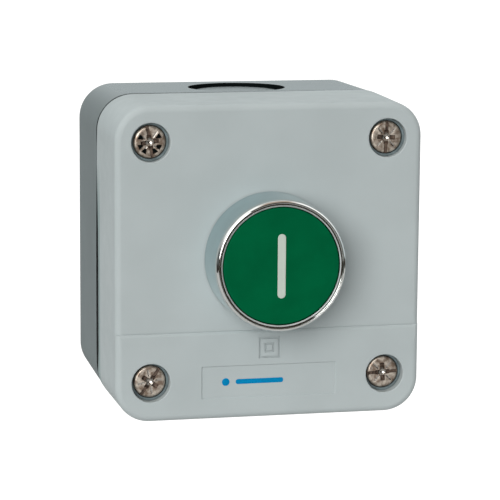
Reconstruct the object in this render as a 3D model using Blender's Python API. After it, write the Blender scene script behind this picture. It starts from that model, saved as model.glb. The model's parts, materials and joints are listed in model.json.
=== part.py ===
"""One-way control station: a two-part plastic case with a 22 mm metal push-button head.

The frame's origin is the centre of the wall face. +X is to the right as seen from the front, +Y points
into the wall and +Z is up. Every number below is in millimetres; the meshes are written in metres.
"""
import bpy
import bmesh
from math import cos, pi, radians, sin, tau
from mathutils import Vector

MM = 0.001
GAP = 0.3                      # clearance left between pieces that touch

# Case
CASE_W = 68.0
CASE_H = 69.0
FRONT_Y = -51.0
CORNER_R = 7.7
WALL = 2.8
BACK_WALL = 2.5
BASE_RIM_Y = -27.6
COVER_RIM_Y = -28.4
BASE_DRAFT = 0.6
COVER_DRAFT = 0.3
BACK_EDGE_R = 1.0
FRONT_EDGE_R = 1.45
CORNER_STEPS = 6

# Front panel
PANEL_Y = -50.65               # the upper field lies slightly below the lower one
STEP_Z = -14.9
FIELD_INSET = 1.6
FIELD_CORNER_R = 6.0
CEILING_Y = -48.2              # inner side of the front panel
LABEL_BOX = (-15.0, 15.0, -29.7, -22.4)
LABEL_DEPTH = 0.2
MARK_Z = -18.7                 # double square of a class II device
MARK_SIZES = (4.4, 2.1)
MARK_LINE = 0.35
MARK_DEPTH = 0.2

# Cover screws
SCREW_X = 26.0
SCREW_RISE = 0.4
SCREW_PITCH = 52.0
WELL_R = 4.2
WELL_FLOOR_Y = -45.4
BOSS_R = 5.6
BOSS_FOOT_R = 4.6
BOSS_STEP_Y = -43.0
BOSS_FOOT_Y = -27.2
CLEAR_R = 2.35
HEAD_R = 3.5
HEAD_TOP_Y = -49.3
HEAD_DEPTH = 2.4
SHANK_R = 1.7
SCREW_TIP_Y = -17.5
SLOT_W = 0.9
POST_R = 5.6
POST_TOP_Y = -26.9
INSERT_R = 2.9
INSERT_Y = (-26.6, -17.0)
INSERT_POCKET_Y = -14.0

# Gasket in the parting line
GASKET_OUT = 1.5
GASKET_IN = 2.7
REBATE_OUT = 1.2
REBATE_Y = -27.0

# Cable entries and wall fixing
ENTRY_Y = -16.2
ENTRY_R = 10.8
MEMBRANE_R = 9.4
MEMBRANE_DEPTH = 1.0
GROOVE_DEPTH = 2.1
FIXING_PITCH = 54.0
FIXING_R = 2.15

# Push-button head
HEAD_Z = 1.0
HOLE_R = 11.2
BARREL_R = 10.9
BARREL_END_Y = -38.0
BEZEL_FOOT_R = 14.45
BEZEL_LIP_R = 14.2
BEZEL_FRONT_Y = -62.0
POCKET_R = 12.85
POCKET_Y = -54.5
BORE_R = 8.3
SHOULDER_R = 5.3
SHOULDER_Y = (-43.5, -41.5)
CAP_R = 12.54
CAP_Y = (-61.7, -59.2)
BAR_W = 1.75
BAR_L = 13.8
BAR_RECESS_Y = -60.5
STEM_R = 5.0
PUSHER_R = 7.8
PUSHER_FLANGE_Y = -52.2
PUSHER_END_Y = -40.0

# Fixing collar behind the panel
COLLAR_HALF = (15.0, 20.0)
COLLAR_Y = (-46.5, -36.0)
COLLAR_WEB_Y = -37.7
COLLAR_SCREWS = ((-10.0, 16.0), (10.0, -16.0))
BLOCK_SCREW_Z = 17.4

# Contact block, its Z sizes counted from the head's axis
BLOCK_X = (-5.1, 3.9)
BLOCK_Y = (-35.7, -13.7)
BLOCK_HALF_Z = 15.0
LUG_HALF_Z = 19.6
LUG_Y = -33.5
CAVITY_X = -3.9
CAVITY_Y = (-33.9, -15.5)
CAVITY_HALF_Z = 13.2
LID_X = (4.2, 5.4)
TERMINAL_Z = 10.2
RIVET_Z = 6.5
PLUNGER_R = 1.6
PLUNGER_Y = (-39.7, -19.5)
PLUNGER_COLLAR_Y = (-33.6, -32.3)
PLUNGER_STOP_Y = (-26.1, -25.1)
BRIDGE_Y = (-27.2, -26.4)
STRIP_Y = (-23.3, -22.5)
CLAMP_Y = (-20.6, -19.7)


def clear_scene():
    for item in list(bpy.data.objects):
        bpy.data.objects.remove(item, do_unlink=True)


def material(name, colour, roughness, metallic=0.0):
    mat = bpy.data.materials.new(name)
    mat.use_nodes = True
    shader = mat.node_tree.nodes["Principled BSDF"]
    shader.inputs["Base Color"].default_value = (*colour, 1.0)
    shader.inputs["Roughness"].default_value = roughness
    shader.inputs["Metallic"].default_value = metallic
    mat.diffuse_color = (*colour, 1.0)
    return mat


# Outlines, each a list of points on one plane

def circle(x, y, z, radius, steps=24, axis="Y"):
    points = []
    for i in range(steps):
        a = tau * i / steps
        u, v = radius * cos(a), radius * sin(a)
        points.append(Vector((x + u, y, z + v) if axis == "Y" else (x + u, y + v, z)))
    return points


def rounded_rect(half_w, half_h, radius, y, x=0.0, z=0.0, steps=CORNER_STEPS):
    """An upright rectangle with round corners, in the plane at y."""
    points = []
    for corner in range(4):
        side_x = 1 if corner in (0, 3) else -1
        side_z = 1 if corner in (0, 1) else -1
        for i in range(steps + 1):
            a = pi / 2 * (corner + i / steps)
            px = side_x * (half_w - radius) + radius * cos(a)
            pz = side_z * (half_h - radius) + radius * sin(a)
            points.append(Vector((x + px, y, z + pz)))
    return points


def case_ring(inset, y):
    """The case's outline at y, moved inwards by inset."""
    radius = max(CORNER_R - inset, 0.6)
    return rounded_rect(CASE_W / 2 - inset, CASE_H / 2 - inset, radius, y)


# Solids

def add_object(name, bm, mat):
    """Makes a closed mesh, drawn in millimetres, into an object in metres."""
    bmesh.ops.recalc_face_normals(bm, faces=bm.faces)
    bmesh.ops.scale(bm, vec=(MM, MM, MM), verts=bm.verts)
    mesh = bpy.data.meshes.new(name)
    bm.to_mesh(mesh)
    bm.free()
    mesh.shade_smooth()
    mesh.set_sharp_from_angle(angle=radians(35))
    obj = bpy.data.objects.new(name, mesh)
    bpy.context.scene.collection.objects.link(obj)
    if mat is not None:
        mesh.materials.append(mat)
    return obj


def loft(name, rings, mat=None, closed=False):
    """Bridges outlines in order; open lofts get a cap on the first and the last."""
    bm = bmesh.new()
    rows = [[bm.verts.new(p) for p in ring] for ring in rings]
    count = len(rows[0])
    pairs = list(zip(rows, rows[1:]))
    if closed:
        pairs.append((rows[-1], rows[0]))
    for a, b in pairs:
        for i in range(count):
            j = (i + 1) % count
            bm.faces.new((a[i], a[j], b[j], b[i]))
    if not closed:
        bm.faces.new(rows[0])
        bm.faces.new(rows[-1])
    return add_object(name, bm, mat)


def turned(name, profile, mat=None, x=0.0, z=HEAD_Z, steps=24):
    """Turns a profile of (radius, y) about an axis along Y.

    A profile that starts and ends at radius 0 gives a solid body, any other a closed ring.
    """
    if profile[0][0] > 0:
        return loft(name, [circle(x, y, z, r, steps) for r, y in profile], mat, closed=True)
    bm = bmesh.new()
    tips = [bm.verts.new((x, profile[end][1], z)) for end in (0, -1)]
    rows = [[bm.verts.new(p) for p in circle(x, y, z, r, steps)] for r, y in profile[1:-1]]
    for i in range(steps):
        j = (i + 1) % steps
        bm.faces.new((tips[0], rows[0][i], rows[0][j]))
        bm.faces.new((tips[1], rows[-1][j], rows[-1][i]))
        for a, b in zip(rows, rows[1:]):
            bm.faces.new((a[i], b[i], b[j], a[j]))
    return add_object(name, bm, mat)


def ring_profile(inner, outer, y0, y1):
    return [(inner, y0), (outer, y0), (outer, y1), (inner, y1)]


def block(name, x_span, y_span, z_span, mat=None):
    outline = [(x_span[0], z_span[0]), (x_span[1], z_span[0]), (x_span[1], z_span[1]), (x_span[0], z_span[1])]
    return loft(name, [[Vector((x, y, z)) for x, z in outline] for y in y_span], mat)


def rod(name, x, z, radius, y0, y1, mat=None, steps=24):
    return loft(name, [circle(x, y, z, radius, steps) for y in (y0, y1)], mat)


def stadium(name, width, length, y0, y1, mat=None):
    return loft(name, [rounded_rect(width / 2, length / 2, width / 2 - 0.01, y, z=HEAD_Z) for y in (y0, y1)], mat)


def coil(name, mat, radius, wire_r, y0, y1, turns, per_turn, sides):
    """A compression spring about the head's axis, its end turns wound close."""
    count = int(turns * per_turn)
    lead = wire_r * 2.1
    low, high = y0 + wire_r, y1 - wire_r
    path = []
    for i in range(count + 1):
        turn = turns * i / count
        middle = (turn - 1) / (turns - 2)
        rise = lead * turn if turn < 1 else lead + (high - low - 2 * lead) * middle
        if turn > turns - 1:
            rise = (high - low) - lead * (turns - turn)
        a = tau * turn
        path.append(Vector((radius * cos(a), low + rise, HEAD_Z + radius * sin(a))))
    rings = []
    for i, centre in enumerate(path):
        tangent = (path[min(i + 1, count)] - path[max(i - 1, 0)]).normalized()
        out = Vector((centre.x, 0, centre.z - HEAD_Z)).normalized()
        side = tangent.cross(out).normalized()
        across = side.cross(tangent)
        ring = []
        for k in range(sides):
            a = tau * k / sides
            ring.append(centre + wire_r * (across * cos(a) + side * sin(a)))
        rings.append(ring)
    return loft(name, rings, mat)


def apply_tool(target, tool, operation):
    tool.hide_render = True
    tool.display_type = "WIRE"
    change = target.modifiers.new(tool.name, "BOOLEAN")
    change.operation = operation
    change.solver = "EXACT"
    change.object = tool


def cut(target, *tools):
    for tool in tools:
        apply_tool(target, tool, "DIFFERENCE")


def join(target, *tools):
    for tool in tools:
        apply_tool(target, tool, "UNION")


# Case

def screw_places():
    """Centres of the four cover screws, from the top left, clockwise."""
    half = SCREW_PITCH / 2
    return [(side * SCREW_X, SCREW_RISE + up * half) for side, up in ((-1, 1), (1, 1), (1, -1), (-1, -1))]


def cable_entry(base, name, up):
    """A knock-out in the top (up 1) or the bottom (up -1) wall: a sunk membrane in a narrow groove."""
    face = up * CASE_H / 2
    over = face + up * 2
    sunk = loft(name + "_recess_tool", [circle(0, ENTRY_Y, z, ENTRY_R, 32, "Z") for z in
                                        (over, face - up * MEMBRANE_DEPTH)])
    groove_rings = [(MEMBRANE_R, over), (ENTRY_R, over), (ENTRY_R, face - up * GROOVE_DEPTH),
                    (MEMBRANE_R, face - up * GROOVE_DEPTH)]
    groove = loft(name + "_groove_tool", [circle(0, ENTRY_Y, z, r, 32, "Z") for r, z in groove_rings],
                  closed=True)
    cut(base, sunk, groove)


def base_enclosure(mat):
    floor_inset = WALL + BASE_DRAFT
    rings = [
        case_ring(floor_inset, -BACK_WALL),
        case_ring(WALL, REBATE_Y),
        case_ring(REBATE_OUT, REBATE_Y),
        case_ring(REBATE_OUT, BASE_RIM_Y),
        case_ring(0, BASE_RIM_Y),
        case_ring(BASE_DRAFT, -BACK_EDGE_R),
        case_ring(BASE_DRAFT + 0.3 * BACK_EDGE_R, -0.3 * BACK_EDGE_R),
        case_ring(BASE_DRAFT + BACK_EDGE_R, 0),
    ]
    base = loft("base_enclosure", rings, mat)
    for i, (x, z) in enumerate(screw_places(), 1):
        join(base, rod(f"post_{i}_tool", x, z, POST_R, POST_TOP_Y, -BACK_WALL / 2))
    for i, (x, z) in enumerate(screw_places(), 1):
        pocket_r = INSERT_R + GAP
        cut(base, rod(f"pocket_{i}_tool", x, z, pocket_r, POST_TOP_Y - 1, INSERT_POCKET_Y, steps=20))
    for i, up in enumerate((1, -1), 1):
        cut(base, rod(f"fixing_{i}_tool", 0, up * FIXING_PITCH / 2, FIXING_R, -BACK_WALL - 1, 1, steps=20))
    cable_entry(base, "top_entry", 1)
    cable_entry(base, "bottom_entry", -1)
    return base


def panel_mark(cover):
    """The two engraved squares, one inside the other."""
    for i, size in enumerate(MARK_SIZES, 1):
        rings = []
        for half, y in ((size / 2, FRONT_Y - 1), (size / 2 - MARK_LINE, FRONT_Y - 1),
                        (size / 2 - MARK_LINE, FRONT_Y + MARK_DEPTH), (size / 2, FRONT_Y + MARK_DEPTH)):
            corners = ((1, 1), (-1, 1), (-1, -1), (1, -1))
            rings.append([Vector((half * a, y, MARK_Z + half * b)) for a, b in corners])
        cut(cover, loft(f"mark_{i}_tool", rings, closed=True))


def front_cover(mat):
    rings = []
    edge_steps = 4
    for i in range(edge_steps + 1):
        a = pi / 2 * i / edge_steps
        inset = COVER_DRAFT + FRONT_EDGE_R * (1 - sin(a))
        rings.append(case_ring(inset, FRONT_Y + FRONT_EDGE_R * (1 - cos(a))))
    rings.append(case_ring(0, COVER_RIM_Y))
    rings.append(case_ring(WALL, COVER_RIM_Y))
    rings.append(case_ring(WALL + COVER_DRAFT, CEILING_Y))
    cover = loft("front_cover", rings, mat)

    for i, (x, z) in enumerate(screw_places(), 1):
        levels = ((BOSS_R, CEILING_Y - 0.8), (BOSS_R, BOSS_STEP_Y), (BOSS_FOOT_R, BOSS_STEP_Y + 1),
                  (BOSS_FOOT_R, BOSS_FOOT_Y))
        join(cover, loft(f"boss_{i}_tool", [circle(x, y, z, r) for r, y in levels]))

    field_w = CASE_W / 2 - FIELD_INSET
    field_top = CASE_H / 2 - FIELD_INSET
    field_z = (field_top + STEP_Z) / 2
    field_h = (field_top - STEP_Z) / 2 + FIELD_CORNER_R / 2
    field_rings = [rounded_rect(field_w, field_h, FIELD_CORNER_R, y, z=field_z - FIELD_CORNER_R / 2)
                   for y in (FRONT_Y - 2, PANEL_Y)]
    field = loft("field_tool", field_rings)
    lower_zone = block("lower_zone_tool", (-CASE_W, CASE_W), (FRONT_Y - 3, FRONT_Y + 3), (-CASE_H, STEP_Z))
    cut(field, lower_zone)
    cut(cover, field)

    for i, (x, z) in enumerate(screw_places(), 1):
        cut(cover, rod(f"well_{i}_tool", x, z, WELL_R, FRONT_Y - 1, WELL_FLOOR_Y))
        cut(cover, rod(f"clearance_{i}_tool", x, z, CLEAR_R, WELL_FLOOR_Y - 1, BOSS_FOOT_Y + 1, steps=20))
    cut(cover, rod("head_hole_tool", 0, HEAD_Z, HOLE_R, FRONT_Y - 1, CEILING_Y + 1, steps=48))
    left, right, low, high = LABEL_BOX
    cut(cover, block("label_tool", (left, right), (FRONT_Y - 1, FRONT_Y + LABEL_DEPTH), (low, high)))
    panel_mark(cover)
    return cover


def cover_gasket(mat):
    front = COVER_RIM_Y + GAP
    back = REBATE_Y - GAP
    rings = [case_ring(inset, y) for inset, y in
             ((GASKET_IN, back), (GASKET_OUT, back), (GASKET_OUT, front), (GASKET_IN, front))]
    return loft("cover_gasket", rings, mat, closed=True)


def cover_screw(index, x, z, mat):
    """Pan head with a cross recess and a straight slot, on a plain shank."""
    neck_y = HEAD_TOP_Y + HEAD_DEPTH
    profile = [(0, HEAD_TOP_Y), (HEAD_R - 0.5, HEAD_TOP_Y), (HEAD_R, HEAD_TOP_Y + 0.5), (HEAD_R, neck_y),
               (SHANK_R, neck_y), (SHANK_R, SCREW_TIP_Y - 0.6), (SHANK_R - 0.6, SCREW_TIP_Y), (0, SCREW_TIP_Y)]
    screw = turned(f"cover_screw_{index}", profile, mat, x, z, steps=18)
    half = SLOT_W / 2
    for arm, (reach_x, reach_z) in enumerate(((half, 2.1), (2.1, half)), 1):
        cut(screw, block(f"cross_{index}_{arm}_tool", (x - reach_x, x + reach_x),
                         (HEAD_TOP_Y - 1, HEAD_TOP_Y + 1.5), (z - reach_z, z + reach_z)))
    return screw


def cover_fasteners(steel, brass, rubber):
    for i, (x, z) in enumerate(screw_places(), 1):
        cover_screw(i, x, z, steel)
        turned(f"brass_insert_{i}", ring_profile(SHANK_R + 0.35, INSERT_R, *INSERT_Y), brass, x, z, steps=16)
        seal_y = (HEAD_TOP_Y + HEAD_DEPTH + GAP, WELL_FLOOR_Y - GAP)
        turned(f"screw_seal_{i}", ring_profile(SHANK_R + 0.4, HEAD_R, *seal_y), rubber, x, z, steps=16)


# Push-button head

def bezel(mat):
    foot_y = PANEL_Y - GAP
    lip_r = BEZEL_LIP_R - 0.8
    profile = [
        (BEZEL_FOOT_R, foot_y), (BEZEL_LIP_R, BEZEL_FRONT_Y + 0.9), (BEZEL_LIP_R - 0.25, BEZEL_FRONT_Y + 0.25),
        (lip_r, BEZEL_FRONT_Y), (POCKET_R + 0.1, BEZEL_FRONT_Y + 0.3), (POCKET_R, BEZEL_FRONT_Y + 0.8),
        (POCKET_R, POCKET_Y), (BORE_R, POCKET_Y), (BORE_R, SHOULDER_Y[0]), (SHOULDER_R, SHOULDER_Y[0]),
        (SHOULDER_R, SHOULDER_Y[1]), (BORE_R, SHOULDER_Y[1]), (BORE_R, BARREL_END_Y),
        (BARREL_R, BARREL_END_Y), (BARREL_R, foot_y), (11.5, foot_y), (11.5, foot_y - 1.1),
        (13.5, foot_y - 1.1), (13.5, foot_y),
    ]
    return turned("bezel", profile, mat, steps=40)


def push_cap(mat):
    front, back = CAP_Y
    profile = [(0, front), (CAP_R - 0.4, front), (CAP_R, front + 0.4), (CAP_R, back), (0, back)]
    cap = turned("push_cap", profile, mat, steps=40)
    cut(cap, stadium("bar_recess_tool", BAR_W + 2 * GAP, BAR_L + 2 * GAP, front - 1, BAR_RECESS_Y))
    return cap


def pusher(mat):
    """The stem behind the cap; the collar at its rear end stops it at the bezel's shoulder."""
    front = CAP_Y[1] + GAP
    stop_y = SHOULDER_Y[1] + GAP
    profile = [(0, front), (PUSHER_R, front), (PUSHER_R, PUSHER_FLANGE_Y), (STEM_R, PUSHER_FLANGE_Y),
               (STEM_R, stop_y), (STEM_R + 1.3, stop_y), (STEM_R + 1.0, PUSHER_END_Y), (0, PUSHER_END_Y)]
    return turned("pusher", profile, mat, steps=32)


def head_seals(rubber):
    panel_front = PANEL_Y - GAP
    turned("bezel_seal", ring_profile(11.8, 13.2, panel_front, panel_front - 0.8), rubber, steps=32)
    lip_y = POCKET_Y - GAP
    turned("lip_seal", ring_profile(PUSHER_R + GAP, CAP_R, lip_y - 1.1, lip_y), rubber, steps=32)


def fixing_collar(mat):
    rings = [rounded_rect(*COLLAR_HALF, 4.0, y, z=HEAD_Z) for y in COLLAR_Y]
    collar = loft("fixing_collar", rings, mat)
    cut(collar, rod("collar_bore_tool", 0, HEAD_Z, HOLE_R, COLLAR_Y[0] - 1, COLLAR_WEB_Y, steps=40))
    cut(collar, rod("collar_web_tool", 0, HEAD_Z, 6.9, COLLAR_WEB_Y - 1, COLLAR_Y[1] + 1, steps=32))
    for i, (x, z) in enumerate(COLLAR_SCREWS, 1):
        cut(collar, rod(f"collar_hole_{i}_tool", x, HEAD_Z + z, 1.9, COLLAR_Y[0] - 1, COLLAR_Y[1] + 1, steps=16))
    for i, up in enumerate((1, -1), 1):
        z = HEAD_Z + up * BLOCK_SCREW_Z
        cut(collar, rod(f"block_thread_{i}_tool", sum(BLOCK_X) / 2, z, 1.5, -41.0, COLLAR_Y[1] + 1, steps=16))
    return collar


def slotted_screw(name, x, z, tip_y, head_y, head_r, head_depth, shank_r, mat):
    """A screw driven from the rear: its head faces +Y."""
    top = head_y + head_depth
    profile = [(0, tip_y), (shank_r, tip_y), (shank_r, head_y), (head_r, head_y), (head_r, top), (0, top)]
    screw = turned(name, profile, mat, x, z, steps=16)
    cut(screw, block(name + "_slot_tool", (x - head_r - 1, x + head_r + 1), (top - 0.8, top + 1), (z - 0.4, z + 0.4)))
    return screw


# Contact block

def contact_body(mat):
    body = block("contact_body", BLOCK_X, BLOCK_Y, (HEAD_Z - BLOCK_HALF_Z, HEAD_Z + BLOCK_HALF_Z), mat)
    join(body, block("lug_tool", BLOCK_X, (BLOCK_Y[0], LUG_Y), (HEAD_Z - LUG_HALF_Z, HEAD_Z + LUG_HALF_Z)))
    cut(body, block("cavity_tool", (CAVITY_X, BLOCK_X[1] + 1), CAVITY_Y,
                    (HEAD_Z - CAVITY_HALF_Z, HEAD_Z + CAVITY_HALF_Z)))
    cut(body, rod("plunger_hole_tool", 0, HEAD_Z, PLUNGER_R + GAP, BLOCK_Y[0] - 1, CAVITY_Y[0] + 1, steps=16))
    for i, up in enumerate((1, -1), 1):
        terminal_z = HEAD_Z + up * TERMINAL_Z
        cut(body, rod(f"driver_hole_{i}_tool", 0, terminal_z, 2.8, CAVITY_Y[1] - 1, BLOCK_Y[1] + 1, steps=20))
        lug_z = HEAD_Z + up * BLOCK_SCREW_Z
        cut(body, rod(f"lug_hole_{i}_tool", sum(BLOCK_X) / 2, lug_z, 1.5, BLOCK_Y[0] - 1, LUG_Y + 1, steps=16))
        ends = (HEAD_Z + up * (CAVITY_HALF_Z - 1), HEAD_Z + up * (BLOCK_HALF_Z + 1))
        wire_y = (STRIP_Y[1] + CLAMP_Y[0]) / 2
        cut(body, loft(f"wire_hole_{i}_tool", [circle(0, wire_y, z, 1.3, 16, "Z") for z in ends]))
    return body


def contact_lid(mat):
    """A flat lid over the body's open side, with its upright edges cut off at the corners."""
    half = BLOCK_HALF_Z
    low_y, high_y = BLOCK_Y
    chamfer = 1.2
    outline = [(low_y + chamfer, -half), (high_y - chamfer, -half), (high_y, chamfer - half),
               (high_y, half - chamfer), (high_y - chamfer, half), (low_y + chamfer, half),
               (low_y, half - chamfer), (low_y, chamfer - half)]
    return loft("contact_lid", [[Vector((x, y, HEAD_Z + z)) for y, z in outline] for x in LID_X], mat)


def contact_plunger(mat):
    collar, stop = PLUNGER_COLLAR_Y, PLUNGER_STOP_Y
    stem = PLUNGER_R - 0.1
    profile = [(0, PLUNGER_Y[0]), (PLUNGER_R, PLUNGER_Y[0]), (PLUNGER_R, collar[0]), (3.0, collar[0]),
               (3.0, collar[1]), (stem, collar[1]), (stem, stop[0]), (2.2, stop[0]), (2.2, stop[1]),
               (stem, stop[1]), (stem, PLUNGER_Y[1]), (0, PLUNGER_Y[1])]
    return turned("contact_plunger", profile, mat, steps=16)


def contact_bridge(mat):
    bridge = block("contact_bridge", (-2.0, 2.0), BRIDGE_Y, (HEAD_Z - 8.2, HEAD_Z + 8.2), mat)
    cut(bridge, rod("bridge_hole_tool", 0, HEAD_Z, PLUNGER_R + 0.2, BRIDGE_Y[0] - 1, BRIDGE_Y[1] + 1, steps=16))
    for i, up in enumerate((1, -1), 1):
        z = HEAD_Z + up * RIVET_Z
        join(bridge, rod(f"bridge_rivet_{i}_tool", 0, z, 1.2, BRIDGE_Y[1] - 0.3, BRIDGE_Y[1] + 0.4, steps=16))
    return bridge


def terminal(index, up, copper, steel):
    """One fixed contact with its rivet, its clamp plate and its screw."""
    ends = sorted((HEAD_Z + up * 5.0, HEAD_Z + up * 12.9))
    strip = block(f"fixed_contact_{index}", (-1.9, 1.9), STRIP_Y, ends, copper)
    z = HEAD_Z + up * TERMINAL_Z
    cut(strip, rod(f"strip_hole_{index}_tool", 0, z, 1.5, STRIP_Y[0] - 1, STRIP_Y[1] + 1, steps=16))
    rivet_z = HEAD_Z + up * RIVET_Z
    join(strip, rod(f"strip_rivet_{index}_tool", 0, rivet_z, 1.2, STRIP_Y[0] - 0.4, STRIP_Y[0] + 0.3, steps=16))
    plate = block(f"terminal_clamp_{index}", (-2.4, 2.4), CLAMP_Y, (z - 2.4, z + 2.4), steel)
    cut(plate, rod(f"clamp_hole_{index}_tool", 0, z, 1.5, CLAMP_Y[0] - 1, CLAMP_Y[1] + 1, steps=16))
    slotted_screw(f"terminal_screw_{index}", 0, z, -26.0, CLAMP_Y[1] + GAP, 2.3, 1.8, 1.2, steel)


def contact_block(plastic, tinted, plunger_mat, copper, steel, spring_steel):
    contact_body(plastic)
    contact_lid(tinted)
    contact_plunger(plunger_mat)
    contact_bridge(copper)
    for i, up in enumerate((1, -1), 1):
        terminal(i, up, copper, steel)
        slotted_screw(f"block_screw_{i}", sum(BLOCK_X) / 2, HEAD_Z + up * BLOCK_SCREW_Z,
                      -40.5, LUG_Y + GAP, 2.0, 1.6, 1.2, steel)
    coil("contact_spring", spring_steel, 2.3, 0.22, PLUNGER_COLLAR_Y[1] + GAP, BRIDGE_Y[0] - GAP,
         5, per_turn=10, sides=4)
    coil("contact_return_spring", spring_steel, 2.3, 0.25, PLUNGER_STOP_Y[1] + GAP, CAVITY_Y[1] - GAP,
         7, per_turn=10, sides=4)


def build():
    clear_scene()
    case_grey = material("case_grey", (0.30, 0.34, 0.34), 0.35)
    cover_grey = material("cover_grey", (0.45, 0.52, 0.51), 0.45)
    rubber = material("black_rubber", (0.015, 0.015, 0.016), 0.7)
    nickel = material("nickel_steel", (0.55, 0.49, 0.43), 0.3, 1.0)
    brass = material("brass", (0.70, 0.50, 0.20), 0.35, 1.0)
    chrome = material("chrome", (0.75, 0.76, 0.77), 0.06, 1.0)
    green = material("green_plastic", (0.0, 0.105, 0.04), 0.4)
    white = material("white_plastic", (0.62, 0.66, 0.62), 0.45)
    black_plastic = material("black_plastic", (0.02, 0.02, 0.02), 0.5)
    zinc = material("zinc_alloy", (0.50, 0.50, 0.50), 0.45, 1.0)
    block_grey = material("block_grey", (0.30, 0.31, 0.32), 0.5)
    lid_grey = material("lid_grey", (0.42, 0.43, 0.44), 0.4)
    contact_green = material("contact_green", (0.02, 0.30, 0.10), 0.45)
    copper = material("contact_copper", (0.72, 0.42, 0.26), 0.3, 1.0)
    spring_steel = material("spring_steel", (0.45, 0.45, 0.46), 0.3, 1.0)

    base_enclosure(case_grey)
    front_cover(cover_grey)
    cover_gasket(rubber)
    cover_fasteners(nickel, brass, rubber)

    bezel(chrome)
    head_seals(rubber)
    push_cap(green)
    stadium("legend_bar", BAR_W, BAR_L, CAP_Y[0] - 0.05, BAR_RECESS_Y - GAP, white)
    pusher(black_plastic)
    coil("return_spring", spring_steel, 7.0, 0.5, PUSHER_FLANGE_Y + GAP, SHOULDER_Y[0] - GAP, 4, per_turn=12, sides=5)

    fixing_collar(zinc)
    for i, (x, z) in enumerate(COLLAR_SCREWS, 1):
        slotted_screw(f"collar_screw_{i}", x, HEAD_Z + z, CEILING_Y + GAP, COLLAR_Y[1] + GAP,
                      2.9, 2.0, 1.6, nickel)
    contact_block(block_grey, lid_grey, contact_green, copper, nickel, spring_steel)


build()
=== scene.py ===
"""Looks of the one-way push-button control station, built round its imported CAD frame.

Sizes are in millimetres in the frame's axes: +X right, +Y into the wall, +Z up. Meshes are written in metres.
"""

import json
from math import cos, pi, radians, sin, tau

import bmesh
import bpy
from mathutils import Matrix, Vector


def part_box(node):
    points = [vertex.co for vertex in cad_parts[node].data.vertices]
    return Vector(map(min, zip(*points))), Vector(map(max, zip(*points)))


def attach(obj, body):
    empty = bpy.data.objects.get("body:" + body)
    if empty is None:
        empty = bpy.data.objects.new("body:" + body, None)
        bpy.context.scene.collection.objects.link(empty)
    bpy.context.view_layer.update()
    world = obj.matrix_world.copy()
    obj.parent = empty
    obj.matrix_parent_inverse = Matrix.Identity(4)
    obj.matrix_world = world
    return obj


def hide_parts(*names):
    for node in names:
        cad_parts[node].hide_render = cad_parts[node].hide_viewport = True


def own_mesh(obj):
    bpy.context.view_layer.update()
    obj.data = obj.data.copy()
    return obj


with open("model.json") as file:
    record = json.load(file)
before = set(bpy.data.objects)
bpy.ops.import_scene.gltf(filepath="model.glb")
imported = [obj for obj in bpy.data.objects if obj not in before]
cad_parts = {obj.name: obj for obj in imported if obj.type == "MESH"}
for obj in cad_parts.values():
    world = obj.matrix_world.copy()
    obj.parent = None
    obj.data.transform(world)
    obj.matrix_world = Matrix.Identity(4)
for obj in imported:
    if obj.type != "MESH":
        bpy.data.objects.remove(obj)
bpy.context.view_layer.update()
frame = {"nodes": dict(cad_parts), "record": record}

MM = 0.001


def mm_box(node):
    low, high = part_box(node)
    return low / MM, high / MM


def middle(node):
    low, high = mm_box(node)
    return (low + high) / 2


# Sizes read from the frame
COVER_LOW, COVER_HIGH = mm_box("front_cover")
BEZEL_LOW, BEZEL_HIGH = mm_box("bezel")
CAP_LOW, CAP_HIGH = mm_box("push_cap")
BAR_LOW, BAR_HIGH = mm_box("legend_bar")
HALF_W = COVER_HIGH.x
HALF_H = COVER_HIGH.z
FRONT_Y = COVER_LOW.y
RIM_Y = mm_box("base_enclosure")[0].y
HEAD_Z = middle("bezel").z
FOOT_R = BEZEL_HIGH.x
CAP_R = CAP_HIGH.x

# Case shells
CORNER_R = 8.2
COVER_CORNER_R = 7.8
CORNER_STEPS = 18
SIDE_STEPS = 14
WALL = 2.8
BACK_WALL = 2.5
BASE_DRAFT = 0.4
COVER_DRAFT = 0.3
FRONT_EDGE_R = 1.45
BACK_EDGE_R = 1.0
RIM_EDGE_R = 0.2
CASE_BEVEL = 0.06
CEILING_Y = -48.2
PANEL_HOLE_R = 11.2

# Parting line: pairs are shut and fully open, and the gasket's insets run from the outside in
PARTING = (0.12, 0.8)
PARTING_BACK = 1.5
RIM_INSET = (0.03, 0.2)
REBATE_INSET = 1.2
REBATE_DEPTH = 0.6
GASKET_INSETS = (0.14, 1.3, 2.7)

# Stepped face, engraved mark, and label recess with its printed dot and bar
STEP_Z = -14.9
FIELD_DEPTH = 0.35
FIELD_Y = FRONT_Y + FIELD_DEPTH
MARK_Z = -18.7
MARK_HALVES = (2.32, 1.05)
MARK_LINE = 0.42
MARK_DEPTH = 0.3
LABEL_X = 15.0
LABEL_Z = (-29.7, -22.4)
LABEL_DEPTH = 0.22
LABEL_SLOPE = 0.24
PRINT_HEIGHT = 0.025
PRINT_DOT_X = -9.6
PRINT_DOT_R = 0.85
PRINT_BAR_X = (-7.4, 3.2)
PRINT_BAR_HALF = 0.55

# Screw wells and bosses in the cover, posts in the base
WELL_R = 4.2
WELL_FLOOR_Y = -45.4
WELL_EDGE_R = 0.25
BOSS_R = 5.6
BOSS_FOOT_R = 4.6
BOSS_STEP_Y = -43.0
CLEAR_R = 2.35
POST_R = 5.6
POCKET_R = 3.0
POCKET_FLOOR_Y = -14.0

# Knock-outs, fixing holes and ejector marks
ENTRY_Y = -16.2
ENTRY_R = 11.0
MEMBRANE_R = 9.4
MEMBRANE_DEPTH = 1.05
GROOVE_DEPTH = 2.2
FIXING_Z = 27.0
FIXING_R = 2.15
EJECTOR_X = 22.0
EJECTOR_Z = 16.0
EJECTOR_R = 2.5
EJECTOR_DEPTH = 0.12

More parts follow.
